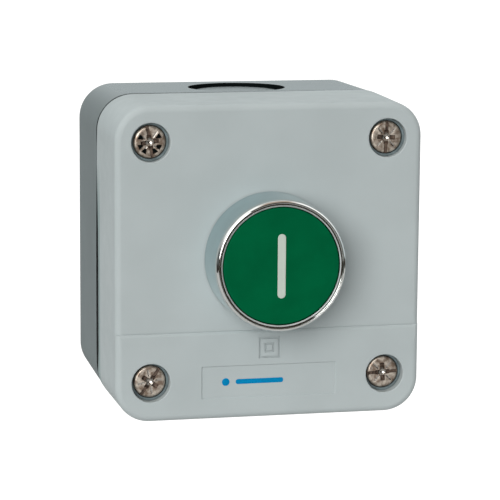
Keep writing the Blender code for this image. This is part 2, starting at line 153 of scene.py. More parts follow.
# Cover screws: turn of each slot from level, arms of the cross with their reach, angles of ticks and pits
SLOT_TURNS = (100, 87, 3, 55)
SLOT_HALF = 0.36
SLOT_DEPTH = 0.5
CROSS_ARMS = ((90, 2.0), (0, 1.55))
CROSS_HALF = 0.5
TICK_ARMS = (45, 135)
PIT_ANGLES = (53, 105, 139, 199, 233, 292)
PIT_DEPTH = 0.7
PITTED_SCREW = 1
DISH_R = 0.9
HEAD_HEIGHT = 2.4
HEAD_EDGE_R = 0.55
SCREW_BEVEL = 0.05
SHANK_R = 1.7
THREAD_R = 1.98
THREAD_PITCH = 0.7

# Seals and inserts
SEAL_BORE_R = 2.1
SEAL_WALL_R = 3.66
SEAL_OUTER_R = 4.18
INSERT_BORE_R = 2.02
INSERT_WAIST = 0.35
INSERT_KNURLS = 36

# Bezel: crest, ring round the cap, pocket of the cap, bore and threaded barrel
CREST_R = 13.5
CREST_WIDTH = 0.74
CREST_HEIGHT = 1.6
RING_R = 13.02
CAP_POCKET_R = 12.69
CAP_POCKET_Y = -54.5
BORE_R = 8.3
LEDGE_R = 5.3
LEDGE_Y = (-43.5, -41.5)
BARREL_R = 10.9
BARREL_ROOT_R = 10.45
BARREL_END_Y = -38.0
BARREL_THREAD_Y = -48.0
CAP_EDGE_R = 0.3

# Springs: node, body, wire radius, turns, joint and travel
COILS = (("return_spring", "case", 0.5, 4, "button_press", 3.0),
         ("contact_return_spring", "case", 0.25, 7, "plunger_slide", 3.0),
         ("contact_spring", "bridge", 0.22, 5, "bridge_slide", 1.0))

# Light: the key's azimuth and elevation, width, strength and colour, in degrees; strength of the world
KEY_FROM = (-28, 17)
KEY_WIDTH = 42
KEY_STRENGTH = 2.93
KEY_COLOUR = (1.0, 0.995, 0.985)
WORLD_STRENGTH = 0.95

# Room: colours of its sides from left to right, of its open front, of its ceiling and of the table's edge
ROOM_SIDES = [(0.0, (0.14, 0.15, 0.15)), (0.2, (0.165, 0.18, 0.18)), (0.36, (0.49, 0.555, 0.57)),
              (1.0, (0.74, 0.82, 0.84))]
ROOM_DARK = (0.05, 0.04, 0.033)
ROOM_CEILING = (1.22, 1.28, 1.29)
CEILING_GAP = [(0.36, (1.55, 1.54, 1.52)), (0.47, (0.58, 0.47, 0.40)), (0.66, (0.58, 0.47, 0.40)),
               (0.78, (1.5, 1.5, 1.5))]
TABLE_EDGE = (0.05, 0.045, 0.04)

# Floor: spans in metres (left, right, near, far), and how far below the object it lies
TABLE = (-0.36, 0.42, -0.4, 6.0)
FLOOR = (-6.0, 6.0, -6.0, 6.0)
FLOOR_DROP = 60.0
FLOOR_GAP = 0.5
FLOOR_GLOW = 0.55

# Camera: angles in degrees, lens, distance and the point that it looks at
CAMERA_AZIMUTH = -12.85
CAMERA_ELEVATION = 9.75
CAMERA_ROLL = 0.41
CAMERA_LENS = 174.36
CAMERA_DISTANCE = 542.0
CAMERA_TARGET = Vector((0.32, -30.0, -0.87))


# Outlines and solids

def outline(x_span, z_span, radii, y, steps):
    """An upright rectangle at y; radii round its corners from the top right, anti-clockwise."""
    (x0, x1), (z0, z1) = x_span, z_span
    points = []
    for corner, radius in enumerate(radii):
        cx = x1 - radius if corner in (0, 3) else x0 + radius
        cz = z1 - radius if corner in (0, 1) else z0 + radius
        for i in range(steps + 1):
            a = pi / 2 * (corner + i / steps)
            points.append(Vector((cx + radius * cos(a), y, cz + radius * sin(a))))
    return points


def smooth(value, low, high):
    """Eases from 0 at low to 1 at high."""
    t = min(max((value - low) / (high - low), 0.0), 1.0)
    return t * t * (3 - 2 * t)


def looseness(x, z):
    """How far the parting line stands open: full at the lower sides, nearly shut above and underneath."""
    sides = smooth(-z, -28.0, 4.0) * (1 - 0.8 * smooth(-z, 24.0, 31.0))
    top_left = 0.2 * smooth(-x, 8.0, 24.0) + 0.4 * smooth(-x, 24.0, 29.0) * smooth(z, 22.0, 29.0)
    return max(sides, top_left)


def case_ring(inset, y, corner=CORNER_R, loose=(0.0, 0.0)):
    """Outline of the case; loose moves it inward and forward where the parting line stands open."""
    radius = max(corner - inset, 0.6)
    places = []
    for k, (sx, sz) in enumerate(((1, 1), (-1, 1), (-1, -1), (1, -1))):
        cx, cz = sx * (HALF_W - inset - radius), sz * (HALF_H - inset - radius)
        for i in range(CORNER_STEPS + 1):
            a = pi / 2 * (k + i / CORNER_STEPS)
            places.append((cx + radius * cos(a), cz + radius * sin(a), cos(a), sin(a)))
        if k % 2:
            for i in range(1, SIDE_STEPS):
                places.append((sx * (HALF_W - inset), cz * (1 - 2 * i / SIDE_STEPS), float(sx), 0.0))
    points = []
    for x, z, nx, nz in places:
        open_by = looseness(x, z)
        shift = loose[0] * open_by
        points.append(Vector((x - nx * shift, y - loose[1] * open_by, z - nz * shift)))
    return points


def cover_ring(inset, y, loose=(0.0, 0.0)):
    return case_ring(inset, y, COVER_CORNER_R, loose)


def circle(x, y, z, radius, steps=64, axis="Y"):
    points = []
    for i in range(steps):
        a = tau * i / steps
        u, v = radius * cos(a), radius * sin(a)
        points.append(Vector((x + u, y, z + v) if axis == "Y" else (x + u, y + v, z)))
    return points


def arc(centre, radius, start, end, steps):
    """Points of (first, second) coordinates round a centre, angles in degrees."""
    points = []
    for i in range(steps + 1):
        a = radians(start + (end - start) * i / steps)
        points.append((centre[0] + radius * cos(a), centre[1] + radius * sin(a)))
    return points


def round_edge(inner_r, front, radius):
    """The (radius, y) points of a small round edge, from a face at the front to the side."""
    return [(inner_r + radius * sin(radians(a)), front + radius * (1 - cos(radians(a))))
            for a in (0, 22, 45, 67, 90)]


def new_object(name, data):
    obj = bpy.data.objects.new(name, data)
    bpy.context.scene.collection.objects.link(obj)
    return obj


def add_object(name, bm):
    """Turns a mesh in millimetres into an object in metres."""
    bmesh.ops.remove_doubles(bm, verts=bm.verts, dist=1e-5)
    bmesh.ops.recalc_face_normals(bm, faces=bm.faces)
    bmesh.ops.scale(bm, vec=(MM, MM, MM), verts=bm.verts)
    mesh = bpy.data.meshes.new(name)
    bm.to_mesh(mesh)
    bm.free()
    return new_object(name, mesh)


def loft(name, rings, closed=False):
    """Bridges outlines in order; an open loft gets a cap on its first and last."""
    bm = bmesh.new()
    rows = [[bm.verts.new(p) for p in ring] for ring in rings]
    count = len(rows[0])
    pairs = list(zip(rows, rows[1:]))
    if closed:
        pairs.append((rows[-1], rows[0]))
    for a, b in pairs:
        for i in range(count):
            j = (i + 1) % count
            bm.faces.new((a[i], a[j], b[j], b[i]))
    if not closed:
        bm.faces.new(rows[0])
        bm.faces.new(rows[-1])
    return add_object(name, bm)


def turned(name, profile, x=0.0, z=HEAD_Z, steps=64):
    """Turns a profile of (radius, y) about an axis along Y; radius 0 at both ends makes it solid."""
    if profile[0][0] > 0:
        return loft(name, [circle(x, y, z, r, steps) for r, y in profile], closed=True)
    bm = bmesh.new()
    tips = [bm.verts.new((x, profile[end][1], z)) for end in (0, -1)]
    rows = [[bm.verts.new(p) for p in circle(x, y, z, r, steps)] for r, y in profile[1:-1]]
    for i in range(steps):
        j = (i + 1) % steps
        bm.faces.new((tips[0], rows[0][i], rows[0][j]))
        bm.faces.new((tips[1], rows[-1][j], rows[-1][i]))
        for a, b in zip(rows, rows[1:]):
            bm.faces.new((a[i], b[i], b[j], a[j]))
    return add_object(name, bm)


def block(name, x_span, y_span, z_span):
    (x0, x1), (z0, z1) = x_span, z_span
    corners = [(x0, z0), (x1, z0), (x1, z1), (x0, z1)]
    return loft(name, [[Vector((x, y, z)) for x, z in corners] for y in y_span])


def rod(name, x, z, radius, y0, y1, steps=64):
    return loft(name, [circle(x, y, z, radius, steps) for y in (y0, y1)])


def carve(target, tool, operation="DIFFERENCE"):
    """Applies a Boolean for good and deletes its tool."""
    change = target.modifiers.new("carve", "BOOLEAN")
    change.operation = operation
    change.solver = "EXACT"
    change.object = tool
    graph = bpy.context.evaluated_depsgraph_get()
    made = bpy.data.meshes.new_from_object(target.evaluated_get(graph))
    target.modifiers.clear()
    old = target.data
    target.data = made
    bpy.data.meshes.remove(old)
    bpy.data.objects.remove(tool, do_unlink=True)


def carve_all(target, tools):
    for tool in tools:
        carve(target, tool)


def settle(obj, mat, body, node=None, bevel=0.0):
    """Shades a finished piece, gives it its material and hangs it on its body."""
    mesh = obj.data
    mesh.name = obj.name
    if not mesh.materials:
        mesh.materials.append(mat)
    if bevel:
        edge = obj.modifiers.new("edge", "BEVEL")
        edge.width = bevel * MM
        edge.segments = 2
        edge.limit_method = "ANGLE"
        edge.angle_limit = radians(40)
        edge.use_clamp_overlap = True
        edge.harden_normals = False
    mesh.shade_smooth()
    mesh.set_sharp_from_angle(angle=radians(42))
    weigh = obj.modifiers.new("weigh", "WEIGHTED_NORMAL")
    weigh.keep_sharp = True
    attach(obj, body)
    if node:
        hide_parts(node)


# Node helpers, for any node tree

def map_range(tree, value, low, high, clip):
    """Maps value between the two ends of clip onto low to high."""
    node = tree.nodes.new("ShaderNodeMapRange")
    ends = {"From Min": clip[0], "From Max": clip[1], "To Min": low, "To Max": high}
    for name, end in ends.items():
        node.inputs[name].default_value = end
    tree.links.new(value, node.inputs["Value"])
    return node.outputs["Result"]


def mix_colours(tree, factor, first, second):
    """Mixes two colours, each a tuple or another node's output."""
    node = tree.nodes.new("ShaderNodeMix")
    node.data_type = "RGBA"
    tree.links.new(factor, node.inputs[0])
    for socket, value in ((node.inputs[6], first), (node.inputs[7], second)):
        if isinstance(value, tuple):
            socket.default_value = (*value, 1.0)
        else:
            tree.links.new(value, socket)
    return node.outputs[2]


# Materials

class Maker:
    """Builds one procedural material step by step; sizes of patterns are in millimetres."""

    def __init__(self, name, colour, roughness, metallic=0.0):
        self.mat = bpy.data.materials.new(name)
        self.mat.use_nodes = True
        self.tree = self.mat.node_tree
        self.shader = self.tree.nodes["Principled BSDF"]
        self.place = self.tree.nodes.new("ShaderNodeTexCoord").outputs["Object"]
        self.colour = colour
        self.shader.inputs["Base Color"].default_value = (*colour, 1.0)
        self.shader.inputs["Roughness"].default_value = roughness
        self.shader.inputs["Metallic"].default_value = metallic
        self.normal = None

    def link(self, a, b):
        self.tree.links.new(a, b)

    def along(self, axis, low, high):
        """0 to 1 between two places on one of the object's axes, in millimetres."""
        parts = self.tree.nodes.new("ShaderNodeSeparateXYZ")
        self.link(self.place, parts.inputs[0])
        return self.spread(parts.outputs[axis], 0.0, 1.0, (low * MM, high * MM))

    def math(self, operation, *values):
        """A Math node; each value is a number or another node's output."""
        node = self.tree.nodes.new("ShaderNodeMath")
        node.operation = operation
        for socket, value in zip(node.inputs, values):
            if isinstance(value, float):
                socket.default_value = value
            else:
                self.link(value, socket)
        return node.outputs[0]

    def stretched(self, scale):
        mapping = self.tree.nodes.new("ShaderNodeMapping")
        mapping.inputs["Scale"].default_value = scale
        self.link(self.place, mapping.inputs["Vector"])
        return mapping.outputs["Vector"]

    def noise(self, size, detail=3.0, rough=0.5, stretch=None):
        node = self.tree.nodes.new("ShaderNodeTexNoise")
        node.inputs["Scale"].default_value = 1.0 / (size * MM)
        node.inputs["Detail"].default_value = detail
        node.inputs["Roughness"].default_value = rough
        self.link(self.stretched(stretch) if stretch else self.place, node.inputs["Vector"])
        return node.outputs["Fac"]

    def spread(self, value, low, high, clip=(0.35, 0.65)):
        """Maps a value onto low to high; by itself, clip takes the busy part of a noise."""
        return map_range(self.tree, value, low, high, clip)

    def blend(self, factor, first, second):
        return mix_colours(self.tree, factor, first, second)

    def shades(self, noise, dark, light):
        """The material's colour, made darker and lighter by a noise."""
        return self.blend(self.spread(noise, 0.0, 1.0), tint(self.colour, dark), tint(self.colour, light))

    def set_colour(self, output):
        self.link(output, self.shader.inputs["Base Color"])

    def set_roughness(self, output):
        self.link(output, self.shader.inputs["Roughness"])

    def bump(self, height, depth, strength=1.0):
        """Adds relief; depth is the height of the relief in millimetres."""
        node = self.tree.nodes.new("ShaderNodeBump")
        node.inputs["Strength"].default_value = strength
        node.inputs["Distance"].default_value = depth * MM
        self.link(height, node.inputs["Height"])
        if self.normal:
            self.link(self.normal, node.inputs["Normal"])
        self.normal = node.outputs["Normal"]
        self.link(self.normal, self.shader.inputs["Normal"])

    def socket(self, name, value):
        self.shader.inputs[name].default_value = value
        return self


def tint(colour, factor):
    return tuple(c * factor for c in colour)


def moulded_plastic(name, colour, roughness, relief=0.004, specular=0.5):
    m = Maker(name, colour, roughness)
    base = m.shades(m.noise(14.0, 4.0), 0.96, 1.04)
    specks = m.spread(m.noise(0.6, 2.0), 0.0, 1.0)
    m.set_colour(m.blend(m.spread(specks, 0.0, 0.25, (0, 1)), base, tint(colour, 0.93)))
    m.set_roughness(m.spread(m.noise(3.0, 4.0), roughness - 0.05, roughness + 0.07))
    m.bump(m.noise(0.25, 3.0, 0.6), relief)
    m.bump(m.noise(9.0, 1.0), 0.02, 0.25)
    return m.socket("Specular IOR Level", specular).mat


def cover_plastic(name):
    """Smooth pale grey, with painted shade darkening it next to the open part of the parting line."""
    m = Maker(name, (0.352, 0.394, 0.400), 0.5)
    base = m.shades(m.noise(14.0, 4.0), 0.97, 1.03)
    # painted shade: the colour darkens towards the rim where the parting line stands open
    rim_shade = m.math("MULTIPLY", m.along("Y", -32.1, -31.2), m.along("Z", 20.0, 9.0))
    m.set_colour(m.blend(rim_shade, base, (0.225, 0.290, 0.290)))
    m.set_roughness(m.spread(m.noise(3.0, 4.0), 0.46, 0.56))
    m.bump(m.noise(0.25, 3.0, 0.6), 0.003)
    return m.socket("Specular IOR Level", 0.1).mat


def case_plastic(name):
    """The base's darker grey: satin on top and underneath, matt on the sides and the back."""
    m = Maker(name, (0.136, 0.162, 0.166), 0.3)
    m.set_colour(m.shades(m.noise(14.0, 4.0), 0.96, 1.04))
    facing = m.tree.nodes.new("ShaderNodeSeparateXYZ")
    m.link(m.tree.nodes.new("ShaderNodeTexCoord").outputs["Normal"], facing.inputs[0])
    upright = m.math("ABSOLUTE", facing.outputs["Z"])
    m.set_roughness(m.spread(upright, 0.85, 0.27, (0.45, 0.97)))
    m.bump(m.noise(0.25, 3.0, 0.6), 0.002)
    return m.mat


def rubber(name, colour, specular):
    m = Maker(name, colour, 0.7)
    m.set_colour(m.shades(m.noise(1.5, 5.0), 0.75, 1.25))
    m.set_roughness(m.spread(m.noise(0.8, 4.0), 0.6, 0.8))
    m.bump(m.noise(0.12, 2.0), 0.006)
    return m.socket("Specular IOR Level", specular).mat


def chrome(name, colour):
    m = Maker(name, colour, 0.05, 1.0)
    m.set_colour(m.shades(m.noise(6.0, 3.0), 0.96, 1.04))
    m.set_roughness(m.spread(m.noise(2.5, 5.0, 0.65), 0.03, 0.08))
    m.bump(m.noise(2.5, 2.0), 0.003, 0.4)
    return m.mat


def worn_nickel(name):
    """Dull nickel plate, browned in patches."""
    bright = (0.60, 0.535, 0.46)
    m = Maker(name, bright, 0.4, 0.75)
    patches = m.spread(m.noise(1.4, 4.0, 0.6), 0.0, 1.0, (0.41, 0.6))
    specks = m.spread(m.noise(0.3, 3.0), 0.0, 0.5, (0.56, 0.72))
    plated = m.blend(patches, (0.25, 0.185, 0.14), bright)
    m.set_colour(m.blend(specks, plated, (0.16, 0.115, 0.085)))
    m.set_roughness(m.spread(m.noise(0.7, 4.0), 0.3, 0.5))
    m.bump(m.noise(0.6, 3.0), 0.02, 0.5)
    return m.mat


def dirt_and_shade_nickel(name):
    """The same plate deep in a recess, brown with dirt and painted shade."""
    m = Maker(name, (0.09, 0.06, 0.045), 0.5, 0.4)
    patches = m.spread(m.noise(0.5, 4.0), 0.0, 1.0)
    m.set_colour(m.blend(patches, (0.045, 0.03, 0.022), (0.17, 0.12, 0.09)))
    m.set_roughness(m.spread(m.noise(0.4, 3.0), 0.4, 0.65))
    m.bump(m.noise(0.3, 3.0), 0.03, 0.6)
    return m.mat


def turned_metal(name, colour, roughness, metallic=1.0):
    """Fine tool marks round the axis of a turned piece."""
    m = Maker(name, colour, roughness, metallic)
    m.set_colour(m.shades(m.noise(2.0, 4.0), 0.82, 1.08))
    m.set_roughness(m.spread(m.noise(0.7, 4.0), roughness - 0.08, roughness + 0.12))
    m.bump(m.noise(0.25, 2.0, 0.5, (1.0, 12.0, 1.0)), 0.006)
    return m.mat


def cast_zinc(name):
    m = Maker(name, (0.46, 0.46, 0.47), 0.5, 1.0)
    m.set_colour(m.shades(m.noise(3.0, 5.0), 0.8, 1.1))
    m.set_roughness(m.spread(m.noise(1.0, 4.0), 0.4, 0.62))
    m.bump(m.noise(0.5, 4.0, 0.6), 0.02)
    return m.mat


def green_cap(name):
    m = Maker(name, (0.0001, 0.083, 0.030), 0.5)
    m.set_colour(m.shades(m.noise(5.0, 4.0), 0.93, 1.07))
    m.set_roughness(m.spread(m.noise(2.0, 4.0), 0.44, 0.56))
    m.bump(m.noise(0.18, 2.0), 0.002)
    return m.socket("Specular IOR Level", 0.01).mat


def ink(name, colour):
    m = Maker(name, colour, 0.55)
    m.set_colour(m.shades(m.noise(0.3, 3.0), 0.9, 1.1))
    return m.socket("Specular IOR Level", 0.05).mat


MATS = {
    "cover_grey": cover_plastic("cover_grey_look"),
    "case_grey": case_plastic("case_grey_look"),
    # painted shade: a near-black colour standing in for the shade in the knock-out grooves and the screw pits
    "painted_shade_black": moulded_plastic("groove_dark_look", (0.003, 0.005, 0.005), 0.8, specular=0.02),
    "black_rubber": rubber("black_rubber_look", (0.004, 0.005, 0.005), 0.05),
    # rubber with painted shade: its dark grey lines the screw wells in place of their shade
    "rubber_and_shade_lining": rubber("grey_rubber_look", (0.105, 0.135, 0.142), 0.2),
    "nickel_steel": worn_nickel("nickel_steel_look"),
    "dirt_and_shade_nickel": dirt_and_shade_nickel("soiled_nickel_look"),
    "bare_steel": turned_metal("bare_steel_look", (0.46, 0.43, 0.39), 0.24),
    "brass": turned_metal("brass_look", (0.72, 0.51, 0.22), 0.32),
    "chrome": chrome("chrome_look", (0.44, 0.56, 0.58)),
    "satin_chrome": turned_metal("satin_chrome_look", (0.42, 0.45, 0.45), 0.4, metallic=0.2),
    "polished_chrome": chrome("polished_chrome_look", (0.70, 0.715, 0.70)),
    "green_plastic": green_cap("green_plastic_look"),
    "white_plastic": moulded_plastic("white_plastic_look", (0.415, 0.47, 0.42), 0.5, relief=0.002),
    "black_plastic": moulded_plastic("black_plastic_look", (0.022, 0.022, 0.023), 0.45),
    "zinc_alloy": cast_zinc("zinc_alloy_look"),
    "block_grey": moulded_plastic("block_grey_look", (0.30, 0.31, 0.32), 0.5),
    "lid_grey": moulded_plastic("lid_grey_look", (0.42, 0.43, 0.44), 0.4),
    "contact_green": moulded_plastic("contact_green_look", (0.02, 0.30, 0.10), 0.45),
    "contact_copper": turned_metal("contact_copper_look", (0.74, 0.44, 0.29), 0.28),
    "spring_steel": turned_metal("spring_steel_look", (0.47, 0.47, 0.48), 0.28),
    "mark_blue": ink("mark_blue_look", (0.0, 0.175, 0.37)),
}


# Case

def screw_places():
    return [middle(f"cover_screw_{i}") for i in range(1, 5)]


def well_tool(x, z, mouth_y):
    """A screw well, whose mouth has a small round edge."""
    mouth_r, steps = WELL_R + WELL_EDGE_R, 96
    rings = [circle(x, mouth_y - 1, z, mouth_r, steps)]
    for r, y in arc((mouth_r, mouth_y + WELL_EDGE_R), WELL_EDGE_R, 270, 180, 4):
        rings.append(circle(x, y, z, r, steps))
    rings.append(circle(x, WELL_FLOOR_Y, z, WELL_R, steps))
    return loft("well", rings)


def engrave_panel_mark(cover):
    """Two engraved squares, one inside the other."""
    floor_y = FRONT_Y + MARK_DEPTH
    for half in MARK_HALVES:
        spans = []
        for reach in (half, half - MARK_LINE):
            spans.append(((-reach, reach), (MARK_Z - reach, MARK_Z + reach)))
        (x_out, z_out), (x_in, z_in) = spans
        carve(cover, block("mark", x_out, (FRONT_Y - 1, floor_y), z_out))
        carve(cover, block("island", x_in, (FRONT_Y, floor_y + 0.3), z_in), "UNION")


def label_tool():
    """The shallow label recess, with sloping sides."""
    rings = []
    for grow, y in ((1.4, FRONT_Y - 1), (0.0, FRONT_Y), (-LABEL_SLOPE, FRONT_Y + LABEL_DEPTH)):
        x_span = (-LABEL_X - grow, LABEL_X + grow)
        z_span = (LABEL_Z[0] - grow, LABEL_Z[1] + grow)
        rings.append(outline(x_span, z_span, (max(0.3 + grow, 0.05),) * 4, y, 4))
    return loft("label", rings)


def front_edge():
    """Steps of the rounded front edge: how far inside the outline, how far behind the front."""
    rounding = arc((0, 0), FRONT_EDGE_R, 90, 0, 8)
    return [(FRONT_EDGE_R - offset, FRONT_EDGE_R - lift) for offset, lift in rounding]


def field_tool():
    """What is cut off the face above the step: a slab less the cover's own outline at field depth."""
    slab_y, over_z = FRONT_Y - 2, HALF_H + 3
    rounding = [(-0.7, 0.0), (-0.5, 0.04), (-0.28, 0.15), (-0.08, 0.29), (0.0, FIELD_DEPTH)]
    side = [(STEP_Z - 0.7, slab_y)] + [(STEP_Z + up, FRONT_Y + back) for up, back in rounding]
    side += [(STEP_Z, FRONT_Y + 2.2), (over_z, FRONT_Y + 2.2), (over_z, slab_y)]
    tool = loft("field", [[Vector((x, y, z)) for z, y in side] for x in (-HALF_W - 3, HALF_W + 3)])
    rings = [cover_ring(COVER_DRAFT + inset - 0.015, FIELD_Y + back) for inset, back in front_edge()]
    rings.append(cover_ring(COVER_DRAFT - 0.06, FRONT_Y + 4))
    carve(tool, loft("upper", rings))
    return tool


def step_foot_tool():
    """The fine groove along the foot of the step."""
    profile = [(0.0, -0.3), (0.0, 0.14), (0.42, 0.0), (0.42, -0.3)]
    reach = HALF_W - 1.9
    return loft("foot", [[Vector((x, FIELD_Y + y, STEP_Z + z)) for z, y in profile] for x in (-reach, reach)])


def cover_rings():
    """The cover's shell from its front edge to its rim, and back inside to its ceiling."""
    rings = [cover_ring(COVER_DRAFT + inset, FRONT_Y + back) for inset, back in front_edge()]
    rim_y = RIM_Y - PARTING[0]
    open_in, open_y = RIM_INSET[1] - RIM_INSET[0], PARTING[1] - PARTING[0]
    rings += [cover_ring(0.06, rim_y - 4.4), cover_ring(0.05, rim_y - 2.6, loose=(open_in * 0.3, 0.0))]
    for inset, before in ((0.0, 1.0), (0.3, 0.3), (1.0, 0.0)):
        rings.append(cover_ring(RIM_INSET[0] + RIM_EDGE_R * inset, rim_y - RIM_EDGE_R * before,
                                loose=(open_in, open_y)))
    rings += [cover_ring(WALL, rim_y, loose=(0.0, open_y)), cover_ring(WALL + COVER_DRAFT, CEILING_Y)]
    return rings


def make_cover():
    cover = loft("cover_shell", cover_rings())
    foot_y = COVER_HIGH.y
    levels = ((BOSS_R, CEILING_Y - 0.8), (BOSS_R, BOSS_STEP_Y), (BOSS_FOOT_R, BOSS_STEP_Y + 1),
              (BOSS_FOOT_R, foot_y))
    for p in screw_places():
        carve(cover, loft("boss", [circle(p.x, y, p.z, r) for r, y in levels]), "UNION")
    carve(cover, field_tool())
    carve(cover, step_foot_tool())
    for p in screw_places():
        mouth_y = FRONT_Y if p.z < STEP_Z else FIELD_Y
        carve(cover, well_tool(p.x, p.z, mouth_y))
        carve(cover, rod("clearance", p.x, p.z, CLEAR_R, WELL_FLOOR_Y - 1, foot_y + 1, 32))
    carve(cover, rod("head_hole", 0, HEAD_Z, PANEL_HOLE_R, FRONT_Y - 1, CEILING_Y + 1, 96))
    carve(cover, label_tool())
    engrave_panel_mark(cover)
    settle(cover, MATS["cover_grey"], "case", "front_cover", bevel=CASE_BEVEL)


def entry_tools(up):
    """The sunk disc and the ring groove of the knock-out on top (up 1) or underneath (up -1)."""
    face = up * HALF_H
    over = face + up * 2
    sunk_levels = (over, face - up * MEMBRANE_DEPTH)
    sunk = loft("sunk", [circle(0, ENTRY_Y, z, ENTRY_R, 96, "Z") for z in sunk_levels])
    floor_z = face - up * GROOVE_DEPTH
    corners = [(MEMBRANE_R, over), (ENTRY_R, over), (ENTRY_R, floor_z), (MEMBRANE_R, floor_z)]
    groove = loft("groove", [circle(0, ENTRY_Y, z, r, 96, "Z") for r, z in corners], closed=True)
    return sunk, groove


def darken_grooves(base):
    """The deep sides of both knock-out grooves are painted black as shade."""
    base.data.materials.append(MATS["case_grey"])
    base.data.materials.append(MATS["painted_shade_black"])
    for face in base.data.polygons:
        centre = face.center / MM
        reach = (centre.x ** 2 + (centre.y - ENTRY_Y) ** 2) ** 0.5
        depth = HALF_H - abs(centre.z)
        deep = depth > MEMBRANE_DEPTH + 0.05
        outer = reach > ENTRY_R - 0.1 and abs(face.normal.z) < 0.5
        near = MEMBRANE_R - 0.2 < reach < ENTRY_R + 0.1 and depth < GROOVE_DEPTH + 0.1
        face.material_index = 1 if near and (deep or outer) else 0


def base_rings():
    """The base's shell from its floor, up inside over the rebate and the rim, and down to its back."""
    rim = [(WALL, REBATE_DEPTH), (REBATE_INSET, REBATE_DEPTH), (REBATE_INSET, 0.0), (RIM_EDGE_R, 0.0),
           (RIM_EDGE_R * 0.3, RIM_EDGE_R * 0.3), (0.02, RIM_EDGE_R)]
    rings = [case_ring(WALL + BASE_DRAFT, -BACK_WALL)]
    rings += [case_ring(inset, RIM_Y + behind, loose=(0.0, -PARTING_BACK)) for inset, behind in rim]
    for offset, lift in arc((0, 0), BACK_EDGE_R, 0, 90, 5):
        rings.append(case_ring(BASE_DRAFT + BACK_EDGE_R - offset, lift - BACK_EDGE_R))
    return rings


def make_base():
    base = loft("base_shell", base_rings())
    post_top = COVER_HIGH.y + 0.3
    for p in screw_places():
        carve(base, rod("post", p.x, p.z, POST_R, post_top, -BACK_WALL / 2), "UNION")
    for p in screw_places():
        carve(base, rod("pocket", p.x, p.z, POCKET_R, post_top - 1, POCKET_FLOOR_Y, 48))
    fixing = ((FIXING_R, -BACK_WALL - 1), (FIXING_R, -0.4), (FIXING_R + 0.4, 0), (FIXING_R + 0.4, 1))
    for up in (1, -1):
        carve_all(base, entry_tools(up))
        carve(base, loft("fixing", [circle(0, y, up * FIXING_Z, r, 48) for r, y in fixing]))
    for side in (-1, 1):
        for up in (-1, 1):
            carve(base, rod("ejector", side * EJECTOR_X, up * EJECTOR_Z, EJECTOR_R, -EJECTOR_DEPTH, 1, 48))
    darken_grooves(base)
    settle(base, MATS["case_grey"], "case", "base_enclosure", bevel=CASE_BEVEL)


def make_gasket():
    """The rubber ring in the parting line, seen as a black joint where the line stands open."""
    outer, step, inner = GASKET_INSETS
    forward, rearward = (0.0, PARTING[1] - PARTING[0]), (0.0, -PARTING_BACK)
    front, back = RIM_Y - PARTING[0] + 0.01, RIM_Y - 0.01
    seat = RIM_Y + REBATE_DEPTH - 0.02
    section = [(inner, seat, rearward), (step, seat, rearward), (step, back, rearward),
               (outer, back, rearward), (outer, front, forward), (inner, front, forward)]
    rings = [case_ring(inset, y, loose=loose) for inset, y, loose in section]
    gasket = loft("parting_gasket", rings, closed=True)
    settle(gasket, MATS["black_rubber"], "case", "cover_gasket")


# Fasteners

def turn_about(tool, x, z, degrees):
    """Turns a finished tool about an axis along Y."""
    shift = Matrix.Translation(Vector((x, 0, z)) * MM)
    spin = Matrix.Rotation(radians(-degrees), 4, "Y")
    tool.data.transform(shift @ spin @ shift.inverted())


def recess_tools(x, z, top_y):
    """Cross recess with square ends, straight slot and four fine diagonal ticks."""
    tools = []
    for arm, reach in CROSS_ARMS:
        rings = []
        for y, taper_x, taper_z in ((-0.5, 1.0, 1.0), (0.45, 1.0, 1.0), (0.95, 0.75, 0.8)):
            half_x, half_z = reach * taper_x, CROSS_HALF * taper_z
            x_span, z_span = (x - half_x, x + half_x), (z - half_z, z + half_z)
            rings.append(outline(x_span, z_span, (0.08,) * 4, top_y + y, 3))
        cross = loft("cross", rings)
        turn_about(cross, x, z, arm)
        tools.append(cross)
    z_span = (z - SLOT_HALF, z + SLOT_HALF)
    tools.append(block("slot", (x - 5, x + 5), (top_y - 1, top_y + SLOT_DEPTH), z_span))
    for arm in TICK_ARMS:
        for side in (-1, 1):
            near, far = sorted((x + side * 1.15, x + side * 2.7))
            tick = loft("tick", [outline((near, far), (z - half, z + half), (0.01,) * 4, y, 2)
                                 for half, y in ((0.975, top_y - 0.3), (0.01, top_y + 0.08))])
            turn_about(tick, x, z, arm)
            tools.append(tick)
    return tools


def pit_tools(x, z, top_y):
    """Wedge pockets between the arms of the most worn head, wider towards its edge."""
    tools = []
    for pit_angle in PIT_ANGLES:
        corners = []
        for radius, offset in ((1.6, -7), (1.6, 7), (2.75, 13), (2.75, -13)):
            a = radians(pit_angle + offset)
            corners.append((x + radius * cos(a), z + radius * sin(a)))
        levels = (top_y - 0.5, top_y + PIT_DEPTH)
        tools.append(loft("pit", [[Vector((px, y, pz)) for px, pz in corners] for y in levels]))
    return tools


def shade_and_dirt_recesses(screw, x, z, top_y, pitted):
    """Brown dirt with painted shade in what is sunk in the head, painted black shade in its pits, bare steel
    in the dish and the ticks.
    """
    for mat in ("nickel_steel", "dirt_and_shade_nickel", "bare_steel", "painted_shade_black"):
        screw.data.materials.append(MATS[mat])
    for face in screw.data.polygons:
        centre = face.center / MM
        reach = ((centre.x - x) ** 2 + (centre.z - z) ** 2) ** 0.5
        depth = centre.y - top_y
        level = abs(face.normal.y)
        # sunk faces get brown dirt with painted shade, and the pits get painted black shade
        sunk = 0.1 < depth < 1.2 and reach < 2.9
        dish = reach < DISH_R + 0.05 and depth > 0.3 and level > 0.3
        pit = pitted and sunk and reach > 1.85 and depth > 0.3 and abs(depth - SLOT_DEPTH) > 0.04
        tick = 1.0 < reach < 2.75 and 0.01 < depth < 0.09 and level < 0.95
        face.material_index = 2 if dish or tick else 3 if pit else 1 if sunk else 0


